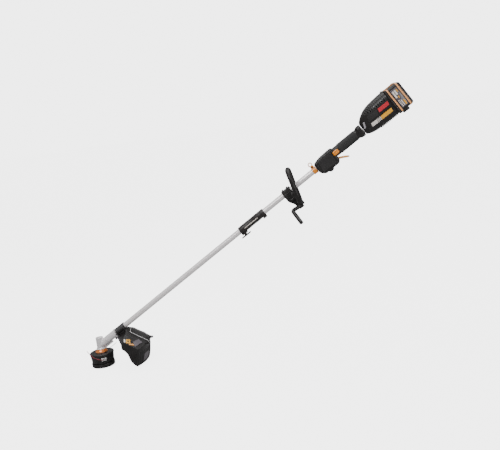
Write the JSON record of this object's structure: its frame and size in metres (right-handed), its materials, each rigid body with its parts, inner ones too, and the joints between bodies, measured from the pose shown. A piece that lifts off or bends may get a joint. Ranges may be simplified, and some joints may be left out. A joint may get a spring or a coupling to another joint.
{
  "type": "string trimmer",
  "caption": "Battery string trimmer: split shaft, bump-feed line head, angle gearbox, rear guard, loop handle with barrier bar, trigger grip, and rear motor with twin packs.",
  "frame": {"origin": "middle of the bump knob's underside, where the head taps the ground", "axes": "+Z is the head's spin axis, upward; +X runs rearward to the user; +Y is the operator's right"},
  "size_m": [1.6026, 0.2356, 1.1189],
  "materials": {
    "black_plastic": "moulded, fine texture",
    "soft_grip": "soft overmould",
    "orange_plastic": "satin",
    "silver_tube": "drawn tube, clear coat",
    "cast_metal": "fine cast, silver paint",
    "steel": "satin",
    "dark_steel": "blackened",
    "brass": "satin",
    "nylon_red": "extruded nylon",
    "nylon_grey": "extruded nylon",
    "white_plastic": "satin",
    "grey_plastic": "moulded",
    "copper_iron": "enamelled windings on steel laminations",
    "board_green": "lacquered board"
  },
  "bodies": {
    "power_unit": {"upper_tube": "silver_tube", "upper_shaft_bushes": "white_plastic", "coupler_housing": "black_plastic", "clamp_nut": "steel", "release_spring": "steel", "loop_handle": "black_plastic", "handle_clamp_cap": "black_plastic", "handle_screws": "dark_steel", "barrier_bar": "black_plastic", "strap_clamp": "orange_plastic", "strap_clamp_screw": "dark_steel", "control_housing_left": "black_plastic", "control_housing_right": "black_plastic", "grip_sleeve": "soft_grip", "trigger_pin": "steel", "trigger_spring": "steel", "switch_module": "black_plastic", "motor_housing_left": "black_plastic", "motor_housing_right": "black_plastic", "motor_stator": "copper_iron", "motor_bearings": "steel", "controller_board": "board_green", "battery_dock": "black_plastic"},
    "motor_drive": {"upper_drive_shaft": "steel", "motor_rotor_fan": "copper_iron"},
    "attachment": {"lower_tube": "silver_tube", "lower_shaft_bushes": "white_plastic", "gearbox_housing": "cast_metal", "gearbox_clamp_screw": "dark_steel", "gearbox_bearings": "steel", "guard_shield": "black_plastic", "guard_bracket": "dark_steel", "guard_screws": "dark_steel", "line_cutter": "steel"},
    "lower_drive": {"lower_drive_shaft": "steel", "pinion": "steel"},
    "head": {"output_shaft": "steel", "bevel_gear": "steel", "spool_housing": "black_plastic", "spool_cover": "black_plastic", "line_eyelets": "white_plastic", "arbor_nut": "brass", "head_collar": "orange_plastic", "bump_spring": "steel", "cutting_line_front": "nylon_red", "cutting_line_back": "nylon_grey"},
    "bump_feed": {"bump_knob": "black_plastic", "spool": "grey_plastic", "wound_line": "nylon_red"},
    "edge_guide": {"edge_guide_wire": "steel"},
    "coupler_knob": {"clamp_knob": "black_plastic"},
    "coupler_button": {"release_button": "black_plastic"},
    "dial": {"speed_dial": "black_plastic"},
    "lock_off": {"lock_off_button": "orange_plastic"},
    "trigger": {"trigger": "orange_plastic"},
    "left_pack": {"battery_left": "black_plastic"},
    "left_latch": {"battery_latch_left": "black_plastic"},
    "right_pack": {"battery_right": "black_plastic"},
    "right_latch": {"battery_latch_right": "black_plastic"}
  },
  "joints": [
    {"name": "attachment_pull", "type": "slide", "parent": "power_unit", "child": "attachment", "axis": [-0.848, 0, -0.5299], "range_m": [0, 0.06]},
    {"name": "head_spin", "type": "hinge", "parent": "attachment", "child": "head", "pos_m": [0, 0, 0.05], "axis": [0, 0, 1], "continuous": true},
    {"name": "lower_shaft_spin", "type": "hinge", "parent": "attachment", "child": "lower_drive", "pos_m": [0, 0, 0.101], "axis": [0.848, 0, 0.5299], "continuous": true},
    {"name": "motor_spin", "type": "hinge", "parent": "power_unit", "child": "motor_drive", "pos_m": [1.35688, 0, 0.94887], "axis": [0.848, 0, 0.5299], "continuous": true},
    {"name": "bump_slide", "type": "slide", "parent": "head", "child": "bump_feed", "axis": [0, 0, 1], "range_m": [0, 0.006], "stiffness_N_per_m": 2500, "springref_m": -0.002, "deforming": ["bump_spring"]},
    {"name": "edge_guide_flip", "type": "hinge", "parent": "attachment", "child": "edge_guide", "pos_m": [0.24, 0, 0.1], "axis": [0, 1, 0], "range_deg": [0, 150]},
    {"name": "coupler_knob_turn", "type": "hinge", "parent": "power_unit", "child": "coupler_knob", "pos_m": [0.75582, 0, 0.53791], "axis": [-0.5299, 0, 0.848], "range_deg": [0, 360]},
    {"name": "coupler_button_push", "type": "slide", "parent": "power_unit", "child": "coupler_button", "axis": [0, -1, 0], "range_m": [0, 0.003], "stiffness_N_per_m": 800, "springref_m": -0.001},
    {"name": "dial_turn", "type": "hinge", "parent": "power_unit", "child": "dial", "pos_m": [1.16691, 0, 0.78772], "axis": [0, 1, 0], "range_deg": [0, 270]},
    {"name": "lock_off_push", "type": "slide", "parent": "power_unit", "child": "lock_off", "axis": [0, 1, 0], "range_m": [0, 0.003], "stiffness_N_per_m": 800, "springref_m": -0.001},
    {"name": "trigger_squeeze", "type": "hinge", "parent": "power_unit", "child": "trigger", "pos_m": [1.20062, 0, 0.82529], "axis": [0, -1, 0], "range_deg": [0, 18], "stiffness_Nm_per_rad": 0.6, "springref_deg": -8.59},
    {"name": "left_pack_slide", "type": "slide", "parent": "power_unit", "child": "left_pack", "axis": [0.5299, 0, -0.848], "range_m": [0, 0.09]},
    {"name": "left_latch_press", "type": "slide", "parent": "left_pack", "child": "left_latch", "axis": [-0.5299, 0, 0.848], "range_m": [0, 0.004], "stiffness_N_per_m": 1500, "springref_m": -0.001},
    {"name": "right_pack_slide", "type": "slide", "parent": "power_unit", "child": "right_pack", "axis": [0.5299, 0, -0.848], "range_m": [0, 0.09]},
    {"name": "right_latch_press", "type": "slide", "parent": "right_pack", "child": "right_latch", "axis": [-0.5299, 0, 0.848], "range_m": [0, 0.004], "stiffness_N_per_m": 1500, "springref_m": -0.001}
  ],
  "couplings": [
    {"joint": "lower_shaft_spin", "follows": "head_spin", "ratio": -1},
    {"joint": "motor_spin", "follows": "head_spin", "ratio": -1}
  ]
}
